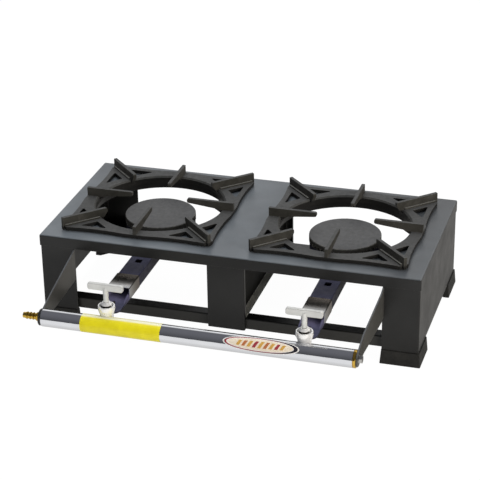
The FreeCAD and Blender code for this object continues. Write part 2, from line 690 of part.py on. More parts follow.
def tap_body():
    """Right tap: boss brazed to the pipe's back, cup and the outlet towards the burner."""
    cup_in = cup_r - cup_wall
    pts = [(0, 0), (tap_boss_r, 0), (tap_boss_r, tap_boss_h)]
    pts += [(cup_r, cup_floor), (cup_r, cup_rim - cup_edge), (cup_r - cup_edge, cup_rim)]
    pts += [(cup_in, cup_rim), (cup_in, cup_floor), (neck_r, cup_floor), (neck_r, cup_floor + neck_h)]
    body = turned(pts + [(0, cup_floor + neck_h)])
    boss = rod(outlet_r, outlet_len)
    boss = soften(boss, outlet_edge, lambda e: e.BoundBox.ZMin > outlet_len - 1e-6)
    body = body.fuse(along_y(boss).translated(V(0, 0, outlet_up)))
    pipe = along_x(rod(pipe_r, 4.0 * cup_r))
    body = body.cut(pipe.translated(V(-2.0 * cup_r, -tap_back, pipe_z - tap_base)))
    body = body.cut(rod(cup_in, cup_rim).cut(rod(neck_r, cup_rim)).translated(V(0, 0, cup_floor)))
    seat = cup_floor + neck_h - collar_seat
    body = body.cut(rod(spindle_r + spindle_fit, cup_rim).translated(V(0, 0, spindle_foot - spindle_under)))
    body = body.cut(rod(collar_r + collar_room, cup_rim).translated(V(0, 0, seat)))
    body = body.cut(rod(inlet_hole_r, spindle_foot - inlet_up).translated(V(0, 0, inlet_up)))
    body = body.cut(along_y(rod(inlet_hole_r, tap_back)).translated(V(0, -tap_back, inlet_up)))
    body = body.cut(along_y(rod(outlet_hole_r, outlet_len + 1.0)).translated(V(0, 0, outlet_up)))
    thread = along_y(rod(jet_thread_r, 2.0 * jet_thread_in))
    body = body.cut(thread.translated(V(0, outlet_len - jet_thread_in, outlet_up)))
    return body.removeSplitter().translated(V(tap_x, tap_y, tap_base))


def gland_nut():
    """Nut on the tap's neck that holds the spindle down."""
    z0 = cup_floor + gland_skirt
    z1 = z0 + gland_h
    roof = cup_floor + neck_h + collar_play
    hole = spindle_r + stem_room
    pts = [(neck_r, z0), (gland_r, z0), (gland_r, z1 - gland_dome), (gland_top_r, z1), (hole, z1)]
    pts += [(hole, roof), (neck_r, roof)]
    return turned(pts).translated(V(tap_x, tap_y, tap_base))


def tap_spindle():
    """Spindle with its gas way, collar, stem and the end that drives the handle."""
    seat = cup_floor + neck_h - collar_seat + collar_play
    base = cup_floor + gland_skirt + gland_h + handle_gap
    jet = outlet_up
    pts = [(0, spindle_foot), (spindle_r, spindle_foot), (spindle_r, seat), (collar_r, seat)]
    pts += [(collar_r, seat + collar_h), (spindle_r, seat + collar_h), (spindle_r, base)]
    pts += [(drive_r, base), (drive_r, base + drive_h), (0, base + drive_h)]
    body = turned(pts)
    body = body.cut(rod(gas_way_r, jet - spindle_foot).translated(V(0, 0, spindle_foot)))
    body = body.cut(along_x(rod(gas_way_r, 2.0 * spindle_r)).translated(V(0, 0, jet)))
    pin = along_x(rod(pin_r, 4.0 * drive_r)).translated(V(-2.0 * drive_r, 0, base + pin_up))
    return body.cut(pin).translated(V(tap_x, tap_y, tap_base))


def tap_handle():
    """T-handle: round stem and a flat bar with rounded ends."""
    base = cup_floor + gland_skirt + gland_h + handle_gap
    h = bar_len / 2.0
    d = bar_deep / 2.0
    z0 = base + handle_boss_h
    bar = box(-h, h, -d, d, z0, z0 + bar_high)
    bar = soften(bar, bar_round, lambda e: e.BoundBox.YLength > bar_deep - 1e-6)
    bar = soften(bar, bar_edge, lambda e: e.BoundBox.YLength < 1e-6)
    body = bar.fuse(rod(handle_boss_r, handle_boss_h + bar_high / 2.0).translated(V(0, 0, base)))
    body = body.cut(rod(drive_r, drive_h).translated(V(0, 0, base)))
    span = 4.0 * handle_boss_r
    pin = along_x(rod(pin_r, span)).translated(V(-span / 2.0, 0, base + pin_up))
    return body.cut(pin).removeSplitter().translated(V(tap_x, tap_y, tap_base))


def handle_pin():
    """Cross pin through the handle's stem and the spindle."""
    z = tap_base + cup_floor + gland_skirt + gland_h + handle_gap + pin_up
    pin = along_x(rod(pin_r, 2.0 * handle_boss_r))
    return pin.translated(V(tap_x - handle_boss_r, tap_y, z))


def injector():
    """Brass injector that points into the burner's mouth."""
    end = jet_hex_t + jet_len
    pts = [(jet_bore, -jet_thread_in), (jet_thread_r, -jet_thread_in), (jet_thread_r, jet_hex_t)]
    pts += [(jet_r, jet_hex_t), (jet_r, end - jet_cone), (jet_tip_r, end), (jet_hole, end)]
    pts += [(jet_hole, end - jet_hole_l), (jet_bore, end - jet_hole_l)]
    collar = hexagon(jet_hex_r, jet_hex_t).cut(rod(jet_thread_r, jet_hex_t))
    body = turned(pts).fuse(collar).removeSplitter()
    return along_y(body).translated(V(tap_x, tap_y + outlet_len, jet_z))


def grate_outline(z):
    """Closed outline of a grate: cut corners, a lobe on each side, hollows between them."""
    g, c, m = grate_half, corner_cut, lobe_half
    low = g - scallop
    mid = (g - c + m) / 2.0
    edges = []
    for i in range(4):
        a = math.radians(90.0 * i)

        def place(u, v):
            x = u * math.cos(a) - v * math.sin(a)
            return V(x, u * math.sin(a) + v * math.cos(a), z)

        edges.append(Part.Arc(place(-g + c, -g), place(-mid, -low), place(-m, -g)).toShape())
        edges.append(Part.LineSegment(place(-m, -g), place(m, -g)).toShape())
        edges.append(Part.Arc(place(m, -g), place(mid, -low), place(g - c, -g)).toShape())
        edges.append(Part.LineSegment(place(g - c, -g), place(g, -g + c)).toShape())
    return Part.Face(Part.Wire(edges))


def grate():
    """Right grate: frame, ring that drops into the plate, eight ribs and corner pads."""
    z0 = grate_lift
    z1 = z0 + grate_t
    body = grate_outline(z0).extrude(V(0, 0, grate_t))
    ring = rod(grate_bore + grate_skirt, grate_skirt_h + grate_t / 2.0)
    body = body.fuse(ring.translated(V(0, 0, z0 - grate_skirt_h)))
    body = body.cut(rod(grate_bore, 4.0 * grate_skirt_h).translated(V(0, 0, -2.0 * grate_skirt_h)))
    bevel = Part.makeCone(grate_bore, grate_bore + grate_bevel, grate_bevel)
    body = body.cut(bevel.translated(V(0, 0, z1 - grate_bevel)))
    rim = grate_half - window_edge
    off = window_off * math.sqrt(2.0)
    inner = (-off + math.sqrt(2.0 * window_in * window_in - off * off)) / 2.0
    far = math.sqrt(window_side * window_side - rim * rim)
    tri = [(rim - off, rim), (inner, inner + off), (far, rim)]
    hole = soften(slab("xy", tri, z0 - grate_t, z1 + grate_t), window_round, upright)
    twin = hole.mirror(V(0, 0, 0), V(1, -1, 0))
    holes = []
    for i in range(4):
        for h in (hole, twin):
            holes.append(h.rotated(V(0, 0, 0), V(0, 0, 1), 90.0 * i))
    body = body.cut(Part.makeCompound(holes))
    out_r = math.sqrt(2.0) * (grate_half - corner_cut / 2.0) + rib_out
    t = rib_t / 2.0
    f = ledge_t / 2.0
    end = [(out_r, z0), (out_r, rib_top), (rib_in_r, rib_top)]
    end += [(rib_in_r, rib_top - rib_nose), (grate_bore, z0)]
    blade = slab("xz", end, -t, t)

    def nose(e):
        bb = e.BoundBox
        return bb.XMax < rib_in_r + 1e-6 and bb.ZMin > rib_top - 1e-6

    blade = soften(blade, rib_round, nose)
    step = box(grate_bore + ledge_end, out_r - ledge_end, -f, f, z0, z1 + ledge_h)
    pad = rod(pad_r, grate_lift + 1.0).translated(V(out_r - pad_at, 0, 0))
    corner = blade.fuse([step, pad])
    b = grate_bore
    rib = [(grate_half, z0), (grate_half, rib_top), (tip_r, rib_top), (tip_r, rib_top - tip_h)]
    rib += [(b - haunch_in, rib_top - haunch_h), (b, z0)]
    middle = slab("xz", rib, -t, t)

    def tip(e):
        bb = e.BoundBox
        return bb.YLength > rib_t - 1e-6 and bb.XMax < tip_r + 1e-6

    middle = soften(middle, tip_round, tip)
    for i in range(4):
        body = body.fuse(corner.rotated(V(0, 0, 0), V(0, 0, 1), 45.0 + 90.0 * i))
        body = body.fuse(middle.rotated(V(0, 0, 0), V(0, 0, 1), 90.0 * i))
    return body.removeSplitter().translated(V(burner_x, mid_y, top_z))


def shifted(shape):
    """Right-hand piece copied to the left burner, not mirrored."""
    return shape.translated(V(-burner_pitch, 0, 0))


pieces = {"top_plate": top_plate()}
panel = side_panel()
pieces["side_panel_right"] = panel
pieces["side_panel_left"] = mirror_x(panel)
post = centre_post()
pieces["centre_post_front"] = post
pieces["centre_post_rear"] = mirror_y(post)
rail = lower_rail()
pieces["lower_rail_front"] = rail
pieces["lower_rail_rear"] = mirror_y(rail)
pieces["centre_channel"] = centre_channel()
bar = burner_bar()
pieces["burner_bar_right"] = bar
pieces["burner_bar_left"] = mirror_x(bar)
shoe = foot()
pieces["foot_front_right"] = shoe
pieces["foot_front_left"] = mirror_x(shoe)
pieces["foot_rear_right"] = mirror_y(shoe)
pieces["foot_rear_left"] = mirror_x(mirror_y(shoe))
pieces["pipe_arm_right"] = pipe_arm(1, m8_r + bolt_clear)
pieces["pipe_arm_left"] = pipe_arm(-1, inlet_r + bolt_clear)
pieces["gas_pipe"] = gas_pipe()
pieces["inlet_lock_nut"] = inlet_lock_nut()
pieces["hose_barb"] = hose_barb()
pieces["pipe_plug"] = pipe_plug()
pieces["plug_washer"] = plug_washer()
pieces["plug_bolt"] = plug_bolt()
casting = burner_body()
pieces["burner_body_right"] = casting
pieces["burner_body_left"] = shifted(casting)
cap = burner_cap()
pieces["burner_cap_right"] = cap
pieces["burner_cap_left"] = shifted(cap)
hood = air_shutter(-1)
pieces["air_shutter_right"] = hood
pieces["air_shutter_left"] = shifted(hood)
screw = shutter_screw()
pieces["shutter_screws"] = Part.makeCompound([screw, shifted(screw)])
pieces["burner_bolts"] = burner_bolts()
makers = {
    "tap_body": tap_body,
    "gland_nut": gland_nut,
    "tap_spindle": tap_spindle,
    "tap_handle": tap_handle,
    "handle_pin": handle_pin,
    "injector": injector,
    "grate": grate,
}
for name, make in makers.items():
    shape = make()
    pieces[name + "_right"] = shape
    pieces[name + "_left"] = shifted(shape)

os.makedirs("parts", exist_ok=True)
for name in sorted(pieces):
    shape = pieces[name].translated(V(0, shift_y, 0))
    shape.exportStep("parts/" + name + ".step")
    volume = sum(s.Volume for s in shape.Solids)
    print("%-20s solids %d valid %s volume %.1f" % (name, len(shape.Solids), shape.isValid(), volume))
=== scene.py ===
"""Looks of a portable two-burner gas stove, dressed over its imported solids.

Everything is in metres, in the frame of the solids: +X to the stove's right, -Y to the front
where the gas pipe lies, +Z up, the origin on the table under the stove's middle.
"""

import json
import logging
import math
from dataclasses import dataclass, field
from enum import Enum
from typing import Dict, List, Optional, Protocol, Tuple, Union

import bmesh
import bpy
from mathutils import Matrix, Vector

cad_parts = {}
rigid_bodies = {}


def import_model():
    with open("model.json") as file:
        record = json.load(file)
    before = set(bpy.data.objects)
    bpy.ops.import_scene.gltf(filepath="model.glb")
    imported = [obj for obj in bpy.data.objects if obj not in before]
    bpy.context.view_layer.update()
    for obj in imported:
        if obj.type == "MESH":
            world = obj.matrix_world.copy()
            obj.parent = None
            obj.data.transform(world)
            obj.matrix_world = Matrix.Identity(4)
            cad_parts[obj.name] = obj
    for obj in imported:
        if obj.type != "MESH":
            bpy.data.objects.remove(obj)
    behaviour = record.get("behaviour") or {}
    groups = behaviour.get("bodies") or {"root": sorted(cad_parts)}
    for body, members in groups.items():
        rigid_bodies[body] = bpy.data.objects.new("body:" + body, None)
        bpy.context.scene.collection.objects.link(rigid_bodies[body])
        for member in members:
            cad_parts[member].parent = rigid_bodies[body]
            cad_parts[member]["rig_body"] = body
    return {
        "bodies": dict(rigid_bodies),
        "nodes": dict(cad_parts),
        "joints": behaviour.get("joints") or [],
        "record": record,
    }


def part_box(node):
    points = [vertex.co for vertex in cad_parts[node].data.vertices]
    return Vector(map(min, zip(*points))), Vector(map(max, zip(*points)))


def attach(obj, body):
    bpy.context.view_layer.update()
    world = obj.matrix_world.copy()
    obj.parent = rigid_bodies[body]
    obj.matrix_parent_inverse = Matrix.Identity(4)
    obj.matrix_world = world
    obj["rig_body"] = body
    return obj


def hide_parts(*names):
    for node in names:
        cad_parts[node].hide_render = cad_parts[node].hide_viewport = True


Colour = Tuple[float, float, float]
Point = Tuple[float, float, float]
Pair = Tuple[float, float]
Socket = bpy.types.NodeSocket
Mixed = Union[Colour, Socket]

LOG = logging.getLogger("stove")
MM = 0.001
WORN = "worn_edge"                    # face attribute of the softened edges
MERGE = 0.002 * MM                    # points closer than this are one
FLAT = math.radians(0.4)              # faces that meet under this angle are one
FLAT_WEIGHT = 50                      # how strongly large faces keep their normals
WHITE: Colour = (1.0, 1.0, 1.0)
# Noise values at which a pattern starts and is full
SOFT: Pair = (0.3, 0.7)
FIRM: Pair = (0.35, 0.65)
CHIPPED: Pair = (0.38, 0.62)
# Sockets of a mix node that is set to colours
MIX_SHARE, MIX_A, MIX_B, MIX_RESULT = 0, 6, 7, 2


class Slot(Enum):
    """Material slots of the record."""

    PAINT = "black_enamel"
    FOOT = "foot_rubber"
    IRON = "cast_iron"
    TAP = "tap_chrome"
    HANDLE = "handle_metal"
    BRASS = "brass"
    ZINC = "zinc_steel"
    PIPE = "pipe_chrome"
    NUT = "black_nut"


class Side(Enum):
    """The two burners' sides."""

    LEFT = "left"
    RIGHT = "right"

    def node(self, kind: str) -> str:
        """Name of a solid on this side."""
        return "%s_%s" % (kind, self.value)


class Outline(Enum):
    """Outlines of a patch on the pipe."""

    OVAL = "oval"
    BAR = "bar"


@dataclass(frozen=True)
class Grain:
    """A noise pattern: features per metre, octaves, their falloff and the scale along each axis."""

    scale: float
    detail: float
    stretch: Point = (1.0, 1.0, 1.0)
    falloff: float = 0.55


class Nodes:
    """A node tree under construction."""

    def __init__(self, tree: bpy.types.NodeTree) -> None:
        """Keep the tree that gets the nodes."""
        self.tree = tree

    def find(self, kind: str) -> bpy.types.Node:
        """First node of a type that is there already."""
        return next(n for n in self.tree.nodes if n.type == kind)

    def node(self, kind: str, **settings: object) -> bpy.types.Node:
        """Add a node.

        Args:
            kind: type of the node.
            settings: properties to set on it.

        Returns:
            The node.
        """
        made = self.tree.nodes.new(kind)
        for key, value in settings.items():
            setattr(made, key, value)
        return made

    def wire(self, source: Socket, target: Socket) -> None:
        """Link two sockets."""
        self.tree.links.new(source, target)

    def span(self, value: Socket, low: float, high: float, start: float = 0.0, end: float = 1.0) -> Socket:
        """Map a value from low..high to start..end, clamped.

        Args:
            value: socket to map.
            low: value that gives start.
            high: value that gives end.
            start: result at low.
            end: result at high.

        Returns:
            The mapped value.
        """
        made = self.node("ShaderNodeMapRange")
        for key, number in (("From Min", low), ("From Max", high), ("To Min", start), ("To Max", end)):
            made.inputs[key].default_value = number
        self.wire(value, made.inputs["Value"])
        return made.outputs["Result"]

    def maths(self, operation: str, a: Socket, b: Socket) -> Socket:
        """Combine two values.

        Args:
            operation: name of the operation.
            a: first value.
            b: second value.

        Returns:
            The result.
        """
        made = self.node("ShaderNodeMath", operation=operation)
        self.wire(a, made.inputs[0])
        self.wire(b, made.inputs[1])
        return made.outputs[0]

    def times(self, a: Socket, b: Socket) -> Socket:
        """Product of two values."""
        return self.maths("MULTIPLY", a, b)

    def blend(self, share: Socket, a: Mixed, b: Mixed) -> Socket:
        """Blend two colours.

        Args:
            share: share of b.
            a: colour or socket.
            b: colour or socket.

        Returns:
            The blended colour.
        """
        made = self.node("ShaderNodeMix", data_type="RGBA")
        self.wire(share, made.inputs[MIX_SHARE])
        for source, target in ((a, made.inputs[MIX_A]), (b, made.inputs[MIX_B])):
            if isinstance(source, bpy.types.NodeSocket):
                self.wire(source, target)
            else:
                target.default_value = (*source, 1.0)
        return made.outputs[MIX_RESULT]

    def part(self, vector: Socket, axis: str) -> Socket:
        """One component of a vector.

        Args:
            vector: the vector.
            axis: X, Y or Z.

        Returns:
            The component.
        """
        made = self.node("ShaderNodeSeparateXYZ")
        self.wire(vector, made.inputs[0])
        return made.outputs[axis]


class Shader(Nodes):
    """A surface material under construction, on Object coordinates."""

    def __init__(self, name: str) -> None:
        """Start a material.

        Args:
            name: name of the material.
        """
        self.material = bpy.data.materials.new(name)
        self.material.use_nodes = True
        super().__init__(self.material.node_tree)
        self.surface = self.find("BSDF_PRINCIPLED")
        self.place = self.node("ShaderNodeTexCoord").outputs["Object"]

    def noise(self, grain: Grain) -> Socket:
        """Noise on the piece's own coordinates.

        Args:
            grain: the pattern.

        Returns:
            The noise value.
        """
        mapping = self.node("ShaderNodeMapping")
        mapping.inputs["Scale"].default_value = grain.stretch
        self.wire(self.place, mapping.inputs["Vector"])
        made = self.node("ShaderNodeTexNoise")
        for key, number in (("Scale", grain.scale), ("Detail", grain.detail), ("Roughness", grain.falloff)):
            made.inputs[key].default_value = number
        self.wire(mapping.outputs["Vector"], made.inputs["Vector"])
        return made.outputs["Fac"]

    def mottled(self, a: Colour, b: Colour, grain: Grain, contrast: Pair) -> Socket:
        """Two colours in patches: a where the noise is below the contrast's range, b above it."""
        return self.blend(self.span(self.noise(grain), *contrast), a, b)

    def upward(self, slope: Pair) -> Socket:
        """How far a face looks up, from 0 to 1 as its normal's upward part goes through the slope."""
        normal = self.node("ShaderNodeNewGeometry").outputs["Normal"]
        return self.span(self.part(normal, "Z"), *slope)

    def along(self, axis: str) -> Socket:
        """Place along one axis of the frame, X, Y or Z."""
        return self.part(self.place, axis)

    def distance(self, place: Pair) -> Socket:
        """Distance from an upright axis.

        Args:
            place: x and y of the axis.

        Returns:
            The distance in metres.
        """
        flat = self.node("ShaderNodeVectorMath", operation="MULTIPLY")
        self.wire(self.place, flat.inputs[0])
        flat.inputs[1].default_value = (1.0, 1.0, 0.0)
        made = self.node("ShaderNodeVectorMath", operation="DISTANCE")
        self.wire(flat.outputs[0], made.inputs[0])
        made.inputs[1].default_value = (place[0], place[1], 0.0)
        return made.outputs["Value"]

    def softened_edge_mask(self) -> Socket:
        """1 on the softened edges, 0 elsewhere."""
        return self.node("ShaderNodeAttribute", attribute_name=WORN).outputs["Fac"]

    def wear_and_painted_highlight(self, grain: Grain) -> Socket:
        """Broken-up mask along the softened edges, partly wear and partly a painted highlight."""
        return self.times(self.softened_edge_mask(), self.span(self.noise(grain), *CHIPPED))

    def paint(self, colour: Socket) -> None:
        """Give the surface its colour."""
        self.wire(colour, self.surface.inputs["Base Color"])

    def rough(self, pattern: Socket, gloss: float, matt: float) -> None:
        """Let the roughness follow a pattern, from gloss to matt."""
        self.wire(self.span(pattern, *SOFT, gloss, matt), self.surface.inputs["Roughness"])

    def bump(self, height: Socket, distance: float, strength: float = 1.0) -> None:
        """Raise the surface by a height, on top of what is there already.

        Args:
            height: height from 0 to 1.
            distance: metres at height 1.
            strength: share of it.
        """
        made = self.node("ShaderNodeBump")
        made.inputs["Strength"].default_value = strength
        made.inputs["Distance"].default_value = distance
        self.wire(height, made.inputs["Height"])
        target = self.surface.inputs["Normal"]
        if target.is_linked:
            self.wire(target.links[0].from_socket, made.inputs["Normal"])
        self.wire(made.outputs["Normal"], target)

    def set(self, **values: object) -> None:
        """Set constant sockets of the surface, named with _ for a space."""
        for key, value in values.items():
            self.surface.inputs[key.replace("_", " ")].default_value = value


class Finish(Protocol):
    """What a piece can be coated with."""

    name: str

    def material(self) -> bpy.types.Material:
        """Build the finish."""
        ...


@dataclass(frozen=True)
class PaintFinish:
    """Baked black paint on folded sheet; its level faces are paler, partly dust and partly painted light,
    and its edges are paler, partly wear and partly a painted highlight.

    Where a colour for painted light is given, the level faces are paler towards the left and the front:
    painted light.
    """

    name: str
    dark: Colour = (0.010, 0.010, 0.0095)
    pale: Colour = (0.015, 0.015, 0.0145)
    dust_and_painted_light: Colour = (0.101, 0.110, 0.122)
    bare_and_painted_highlight: Colour = (0.085, 0.083, 0.078)
    gloss: float = 0.28
    matt: float = 0.38
    shine: float = 0.35
    painted_light_left_front: Optional[Colour] = None
    painted_light_x: Pair = (330.0 * MM, 80.0 * MM)
    painted_light_y: Pair = (260.0 * MM, -95.0 * MM)
    painted_light_share: Pair = (0.6, 0.4)
    level: Pair = (0.3, 0.9)
    clouds: Grain = Grain(9.0, 5.0)
    specks: Grain = Grain(420.0, 2.0)
    speck_range: Pair = (0.60, 0.70)
    speck_share: float = 0.35
    drifts: Grain = Grain(7.0, 7.0)
    drift_least: float = 0.66
    wear: Grain = Grain(160.0, 3.0)
    sheen: Grain = Grain(22.0, 6.0)
    peel: Grain = Grain(650.0, 2.0)
    peel_depth: float = 0.05 * MM
    waves: Grain = Grain(35.0, 2.0)
    wave_depth: float = 0.6 * MM
    wave_share: float = 0.15

    def material(self) -> bpy.types.Material:
        """Build the finish.

        Returns:
            The material.
        """
        s = Shader(self.name)
        colour = s.mottled(self.dark, self.pale, self.clouds, FIRM)
        speck = s.span(s.noise(self.specks), *self.speck_range, 0.0, self.speck_share)
        colour = s.blend(speck, colour, self.pale)
        dust_and_painted_light: Mixed = self.dust_and_painted_light
        # Painted light: the level faces' colour turns paler towards the left and the front.
        if self.painted_light_left_front is not None:
            side = s.span(s.along("X"), *self.painted_light_x, 0.0, self.painted_light_share[0])
            front = s.span(s.along("Y"), *self.painted_light_y, 0.0, self.painted_light_share[1])
            dust_and_painted_light = s.blend(s.maths("ADD", side, front), self.dust_and_painted_light, self.painted_light_left_front)
        drift = s.span(s.noise(self.drifts), *SOFT, self.drift_least, 1.0)
        # Level faces take the dust colour, partly dust and partly painted light.
        colour = s.blend(s.times(s.upward(self.level), drift), colour, dust_and_painted_light)
        # Softened edges turn paler, partly wear and partly a painted highlight.
        s.paint(s.blend(s.wear_and_painted_highlight(self.wear), colour, self.bare_and_painted_highlight))
        s.rough(s.noise(self.sheen), self.gloss, self.matt)
        s.set(Specular_IOR_Level=self.shine)
        s.bump(s.noise(self.peel), self.peel_depth)
        s.bump(s.noise(self.waves), self.wave_depth, self.wave_share)
        return s.material


@dataclass(frozen=True)
class IronFinish:
    """Sand-cast iron, matt on its sides and paler on top, partly rubbed wear and partly painted light.

    Upright faces below a given height are black as painted shade, level faces at a given ledge height are
    bright as a painted highlight, and faces near a given mouth along the tube are paler as painted light.
    Each is left out when not given.
    and faces near the place mouth along the tube are paler. Each is left out when not given.
    """

    name: str
    low: Colour = (0.028, 0.027, 0.023)
    side: Colour = (0.048, 0.046, 0.040)
    top: Colour = (0.072, 0.073, 0.073)
    edge: Colour = (0.19, 0.188, 0.176)
    frame_painted_shade: Colour = (0.012, 0.0115, 0.011)
    throat_painted_light: Colour = (0.15, 0.14, 0.235)
    gloss: float = 0.50
    matt: float = 0.72
    shine: float = 0.3
    sand_depth: float = 0.22 * MM
    lump_share: float = 0.5
    frame_painted_shade_below: Optional[float] = None
    frame_painted_shade_share: float = 0.9
    painted_highlight_ledge: Optional[float] = None
    mouth: Optional[float] = None
    reach: float = 26.0 * MM
    fade: float = 0.6 * MM
    level: Pair = (0.35, 0.95)
    frame_painted_shade_slope: Pair = (0.2, 0.5)
    painted_highlight_ledge_slope: Pair = (0.1, 0.6)
    throat_painted_light_slope: Pair = (-0.2, 0.2)
    patches: Grain = Grain(45.0, 6.0)
    rubs: Grain = Grain(90.0, 5.0)
    rub_range: Pair = (0.2, 0.6)
    rub_least: float = 0.7
    pits: Grain = Grain(900.0, 3.0)
    pit_range: Pair = (0.30, 0.42)
    pit_share: float = 0.7
    wear: Grain = Grain(220.0, 3.0)
    sheen: Grain = Grain(130.0, 5.0)
    sand: Grain = Grain(800.0, 5.0)
    lumps: Grain = Grain(120.0, 3.0)

    def material(self) -> bpy.types.Material:
        """Build the finish.

        Returns:
            The material.
        """
        s = Shader(self.name)
        colour = s.mottled(self.low, self.side, self.patches, FIRM)
        # Level faces paler, partly rubbed wear and partly painted light.
        rubbed_and_painted_light = s.span(s.noise(self.rubs), *self.rub_range, self.rub_least, 1.0)
        colour = s.blend(s.times(s.upward(self.level), rubbed_and_painted_light), colour, self.top)
        pit = s.span(s.noise(self.pits), *self.pit_range, self.pit_share, 0.0)
        colour = s.blend(pit, colour, self.low)
        # Softened edges paler, partly wear and partly a painted highlight.
        colour = s.blend(s.wear_and_painted_highlight(self.wear), colour, self.edge)
        height = s.along("Z")
        # Painted shade: upright faces below the given height turn near black.
        if self.frame_painted_shade_below is not None:
            below = s.span(height, self.frame_painted_shade_below + self.fade, self.frame_painted_shade_below)
            upright = s.span(s.upward(self.frame_painted_shade_slope), 0.0, 1.0, self.frame_painted_shade_share, 0.0)
            colour = s.blend(s.times(below, upright), colour, self.frame_painted_shade)
        # Painted highlight: level faces at the ledge height turn bright.
        if self.painted_highlight_ledge is not None:
            under = s.span(height, self.painted_highlight_ledge - 2.0 * self.fade, self.painted_highlight_ledge - self.fade)
            over = s.span(height, self.painted_highlight_ledge + 2.0 * self.fade, self.painted_highlight_ledge + self.fade)
            bright = s.times(s.times(under, over), s.upward(self.painted_highlight_ledge_slope))
            colour = s.blend(bright, colour, self.edge)
        # Painted light: faces near the mouth along the tube turn paler.
        if self.mouth is not None:
            depth = s.along("Y")
            before = s.span(depth, self.mouth - self.reach, self.mouth)
            behind = s.span(depth, self.mouth + self.reach, self.mouth)
            inside = s.times(s.times(before, behind), s.upward(self.throat_painted_light_slope))
            colour = s.blend(inside, colour, self.throat_painted_light)
        s.paint(colour)
        s.rough(s.noise(self.sheen), self.gloss, self.matt)
        s.set(Specular_IOR_Level=self.shine)
        s.bump(s.noise(self.sand), self.sand_depth)
        s.bump(s.noise(self.lumps), self.sand_depth * 2.0, self.lump_share)
        return s.material


@dataclass(frozen=True)
class MetalFinish:
    """Bare or plated metal with fine marks along one direction."""

    name: str
    colour: Colour
    tint: Colour
    gloss: float
    matt: float
    marks: Grain = Grain(300.0, 3.0)
    depth: float = 0.02 * MM
    metal: float = 1.0
    edge: Optional[Colour] = None
    haze: Grain = Grain(30.0, 5.0)

    def material(self) -> bpy.types.Material:
        """Build the finish.

        Returns:
            The material.
        """
        s = Shader(self.name)
        colour = s.mottled(self.colour, self.tint, self.haze, SOFT)
        # Where an edge colour is given, the softened edges take it as a painted highlight.
        if self.edge is not None:
            colour = s.blend(s.softened_edge_mask(), colour, self.edge)
        s.paint(colour)
        line = s.noise(self.marks)
        s.rough(line, self.gloss, self.matt)
        s.set(Metallic=self.metal)
        s.bump(line, self.depth)
        return s.material


FASTENER = MetalFinish("zinc_fastener", (0.58, 0.57, 0.54), (0.50, 0.49, 0.46), 0.25, 0.4)


@dataclass(frozen=True)
class CupPlating:
    """Bright satin plating, with painted shade in the front of the tap's cup.

    The painted shade lies within the radius inside round the axis, from the height floor to the rim.
    """

    name: str
    axis: Pair
    inside: float
    floor: float
    rim: float
    colour: Colour = (0.97, 0.97, 0.96)
    tint: Colour = (0.91, 0.91, 0.90)
    cup_painted_shade: Colour = (0.016, 0.015, 0.014)
    gloss: float = 0.16
    matt: float = 0.26
    metal: float = 0.45
    haze: Grain = Grain(30.0, 5.0)
    marks: Grain = Grain(300.0, 3.0)
    depth: float = 0.02 * MM
    fade: float = 0.3 * MM
    above_rim: float = 3.0 * MM
    front_fade: float = 4.0 * MM

    def material(self) -> bpy.types.Material:
        """Build the finish.

        Returns:
            The material.
        """
        s = Shader(self.name)
        colour = s.mottled(self.colour, self.tint, self.haze, SOFT)
        height = s.along("Z")
        # Painted shade: dark in the front of the cup round the gland nut.
        near = s.span(s.distance(self.axis), self.inside + self.fade, self.inside)
        above = s.span(height, self.floor - self.fade, self.floor)
        below = s.span(height, self.rim + self.above_rim, self.rim + self.above_rim / 2.0)
        front = s.span(s.along("Y"), self.axis[1], self.axis[1] - self.front_fade)
        dark = s.times(s.times(near, above), s.times(below, front))
        s.paint(s.blend(dark, colour, self.cup_painted_shade))
        s.wire(s.span(dark, 0.0, 1.0, self.metal, 0.0), s.surface.inputs["Metallic"])
        marks = s.noise(self.marks)
        s.rough(marks, self.gloss, self.matt)
        s.bump(marks, self.depth)
        return s.material


@dataclass(frozen=True)
class PaintedReflectionSheet:
    """Zinc sheet, browner towards the rear and bright at its front lip as a painted reflection, with brown
    streaks.
    """

    name: str
    front: float
    rear: float
    bright: Colour = (0.84, 0.85, 0.86)
    plain: Colour = (0.54, 0.52, 0.48)
    brown: Colour = (0.20, 0.165, 0.135)
    gloss: float = 0.24
    matt: float = 0.34
    stain: float = 0.25
    painted_reflection_lag: float = -0.4
    sheen: Grain = Grain(60.0, 4.0)
    lines: Grain = Grain(220.0, 3.0, (1.0, 10.0, 1.0))
    line_depth: float = 0.012 * MM
    lip: float = 4.0 * MM
    lip_slope: Pair = (0.6, 0.8)

    def material(self) -> bpy.types.Material:
        """Build the finish.

        Returns:
            The material.
        """
        s = Shader(self.name)
        depth = s.along("Y")
        # Painted reflection: browner towards the rear, bright near the front lip.
        colour = s.blend(s.span(depth, self.rear, self.front), self.brown, self.plain)
        painted_reflection_ahead = s.span(s.span(depth, self.rear, self.front, self.painted_reflection_lag, 1.0), 0.0, 1.0)
        near = s.times(painted_reflection_ahead, painted_reflection_ahead)
        colour = s.blend(near, colour, self.bright)
        line = s.noise(self.lines)
        s.paint(s.blend(s.span(line, *SOFT, 0.0, self.stain), colour, self.brown))
        s.rough(s.noise(self.sheen), self.gloss, self.matt)
        s.set(Metallic=1.0)
        s.bump(line, self.line_depth)
        s.bump(s.times(s.span(near, 0.0, 1.0, 1.0, 0.0), s.upward(self.lip_slope)), self.lip)
        return s.material


